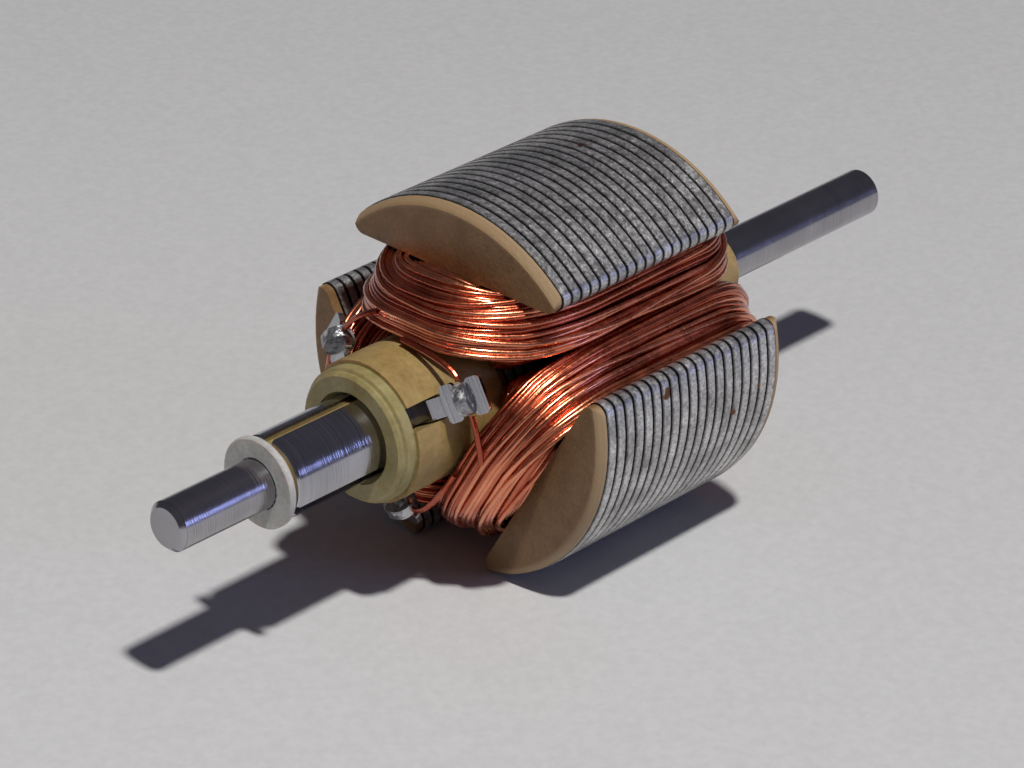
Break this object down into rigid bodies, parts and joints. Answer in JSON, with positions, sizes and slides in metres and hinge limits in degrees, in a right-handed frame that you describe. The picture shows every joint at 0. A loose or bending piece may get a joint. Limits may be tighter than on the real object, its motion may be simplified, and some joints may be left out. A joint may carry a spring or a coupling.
{
  "type": "motor armature",
  "caption": "Wound rotor of a small brushed motor: laminated poles, copper coils, a segmented commutator with solder tabs, and a plain shaft.",
  "frame": {"origin": "on the shaft's axis, halfway along the lamination stack", "axes": "+X along the shaft towards the plain output end, +Z through the middle of the first pole"},
  "size_m": [0.04, 0.0154, 0.0151],
  "materials": {
    "shaft_steel": "bright ground steel with fine turning marks",
    "lamination_steel": "mottled silicon steel edges, dark between the sheets",
    "insulating_board": "tan fibre board with a satin coat",
    "enamelled_wire": "clear enamelled copper wire, glossy",
    "moulded_nylon": "natural nylon, slightly translucent",
    "ring_nylon": "natural nylon, yellowed at the rim",
    "washer_nylon": "pale grey nylon",
    "segment_metal": "polished, with brush wear rings",
    "solder": "dull grey with frosty patches"
  },
  "bodies": {
    "root": {"shaft": "shaft_steel", "lamination_01": "lamination_steel", "lamination_02": "lamination_steel", "lamination_03": "lamination_steel", "lamination_04": "lamination_steel", "lamination_05": "lamination_steel", "lamination_06": "lamination_steel", "lamination_07": "lamination_steel", "lamination_08": "lamination_steel", "lamination_09": "lamination_steel", "lamination_10": "lamination_steel", "lamination_11": "lamination_steel", "lamination_12": "lamination_steel", "lamination_13": "lamination_steel", "lamination_14": "lamination_steel", "lamination_15": "lamination_steel", "lamination_16": "lamination_steel", "lamination_17": "lamination_steel", "lamination_18": "lamination_steel", "lamination_19": "lamination_steel", "front_plate": "insulating_board", "rear_plate": "insulating_board", "coil_1": "enamelled_wire", "coil_2": "enamelled_wire", "coil_3": "enamelled_wire", "commutator_core": "moulded_nylon", "retaining_ring": "ring_nylon", "front_washer": "washer_nylon", "segment_1": "segment_metal", "segment_2": "segment_metal", "segment_3": "segment_metal", "solder_joint_1": "solder", "solder_joint_2": "solder", "solder_joint_3": "solder", "start_lead_1": "enamelled_wire", "start_lead_2": "enamelled_wire", "start_lead_3": "enamelled_wire", "finish_lead_1": "enamelled_wire", "finish_lead_2": "enamelled_wire", "finish_lead_3": "enamelled_wire", "rear_spacer": "moulded_nylon"}
  },
  "joints": []
}
